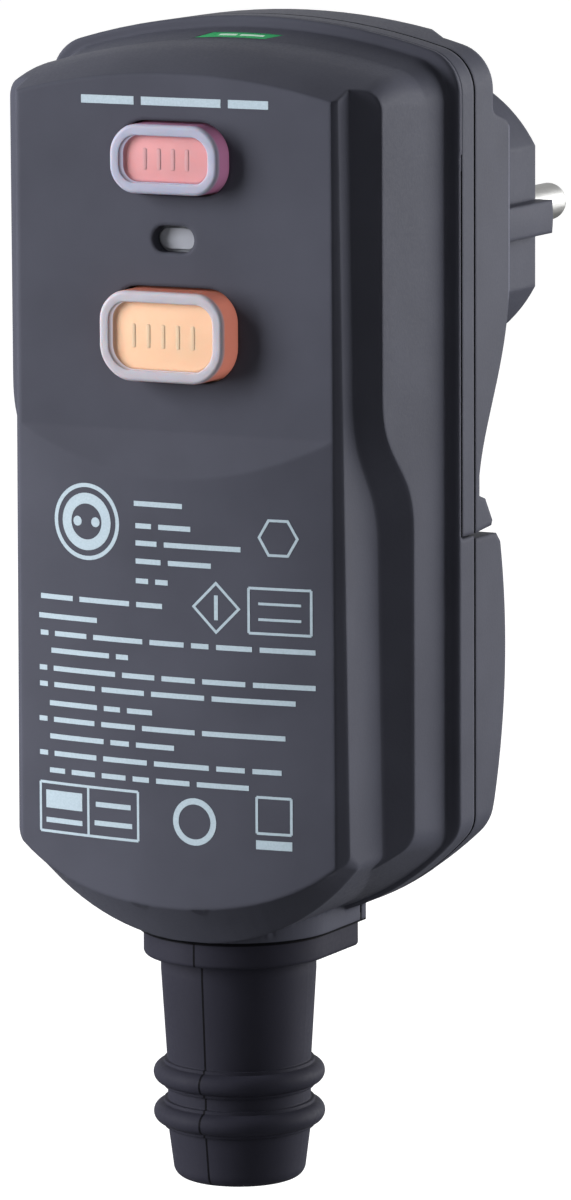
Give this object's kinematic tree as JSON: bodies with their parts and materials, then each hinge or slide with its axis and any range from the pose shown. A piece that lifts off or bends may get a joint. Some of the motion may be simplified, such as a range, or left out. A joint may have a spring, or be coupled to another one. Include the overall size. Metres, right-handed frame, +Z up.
{
  "type": "residual current device plug",
  "caption": "Angled mains plug with a stepped two-part housing, test and reset buttons, an indicator window, round pins and a ribbed cable boot.",
  "frame": {"origin": "centre of the plug's end face, midway between the roots of the two pins", "axes": "+X right as seen from the front panel, +Y along the pins towards the wall, +Z up, away from the cable"},
  "size_m": [0.056, 0.0896, 0.1431],
  "materials": {
    "housing_plastic": "fine spark-eroded texture, dark blue-grey",
    "seal_rubber": "moulded silicone seal",
    "green_strip": "smooth printed strip",
    "pink_key": "smooth moulded key",
    "orange_key": "smooth moulded key",
    "clear_rim": "milky translucent moulding",
    "smoked_lens": "smoked light window",
    "led_resin": "red resin",
    "black_moulding": "moulded insulating plastic",
    "white_nylon": "moulded nylon",
    "board_laminate": "green glass-fibre board",
    "screw_steel": "zinc plated",
    "spring_steel": "bright wire",
    "nickel_plate": "satin nickel plate",
    "contact_copper": "rolled copper strip",
    "brass_metal": "machined brass",
    "copper_wire": "enamelled winding wire",
    "ferrite": "sintered core",
    "winding_tape": "taped winding",
    "wire_insulation": "insulated wire",
    "boot_rubber": "moulded rubber boot",
    "yellow_film": "boxed film capacitor",
    "blue_coating": "dipped coating",
    "tan_coating": "lacquered resistors"
  },
  "bodies": {
    "housing": {"front_housing": "housing_plastic", "mid_frame": "housing_plastic", "rear_housing": "housing_plastic", "terminal_cover": "housing_plastic", "housing_gasket": "seal_rubber", "cover_gasket": "seal_rubber", "button_seals": "seal_rubber", "top_inlay": "green_strip", "test_spring": "spring_steel", "test_switch": "black_moulding", "reset_spring": "spring_steel", "indicator_lens": "smoked_lens", "indicator_led": "led_resin", "circuit_board": "board_laminate", "board_screws": "screw_steel", "sensor_core": "ferrite", "sensor_winding": "winding_tape", "line_wires": "wire_insulation", "trip_bobbin": "white_nylon", "trip_winding": "copper_wire", "trip_yoke": "screw_steel", "plunger_spring": "spring_steel", "opening_springs": "spring_steel", "supply_contacts": "contact_copper", "live_pin": "nickel_plate", "neutral_pin": "nickel_plate", "pin_carrier": "black_moulding", "live_busbar": "contact_copper", "neutral_busbar": "contact_copper", "earth_clip_top": "nickel_plate", "earth_clip_bottom": "nickel_plate", "earth_strap": "contact_copper", "terminal_block": "black_moulding", "terminals": "brass_metal", "terminal_screws": "screw_steel", "cable_clamp": "black_moulding", "clamp_screws": "screw_steel", "housing_screws": "screw_steel", "cover_screws": "screw_steel", "gland_boot": "boot_rubber", "capacitor": "yellow_film", "varistor": "blue_coating", "control_chip": "black_moulding", "resistors": "tan_coating"},
    "test_button": {"test_button": "pink_key", "test_rim": "clear_rim"},
    "reset_button": {"reset_button": "orange_key", "reset_rim": "clear_rim"},
    "carriage": {"contact_carriage": "white_nylon", "contact_bridges": "contact_copper"},
    "plunger": {"trip_plunger": "screw_steel"},
    "latch": {"latch_plate": "screw_steel"}
  },
  "joints": [
    {"name": "test_press", "type": "slide", "parent": "housing", "child": "test_button", "axis": [0, 1, 0], "range_m": [0, 0.0015], "stiffness_N_per_m": 400, "springref_m": -0.003, "deforming": ["test_spring"]},
    {"name": "reset_press", "type": "slide", "parent": "housing", "child": "reset_button", "axis": [0, 1, 0], "range_m": [0, 0.0025], "stiffness_N_per_m": 400, "springref_m": -0.003, "deforming": ["reset_spring"]},
    {"name": "contacts_close", "type": "slide", "parent": "housing", "child": "carriage", "axis": [0, -1, 0], "range_m": [0, 0.0025], "stiffness_N_per_m": 400, "springref_m": -0.002, "deforming": ["opening_springs"]},
    {"name": "trip_pull", "type": "slide", "parent": "housing", "child": "plunger", "axis": [0, 0, 1], "range_m": [0, 0.0015], "stiffness_N_per_m": 400, "springref_m": -0.002, "deforming": ["plunger_spring"]},
    {"name": "latch_slide", "type": "slide", "parent": "housing", "child": "latch", "axis": [0, 0, 1], "range_m": [0, 0.0015]}
  ],
  "couplings": [
    {"joint": "latch_slide", "follows": "trip_pull", "ratio": 1}
  ]
}
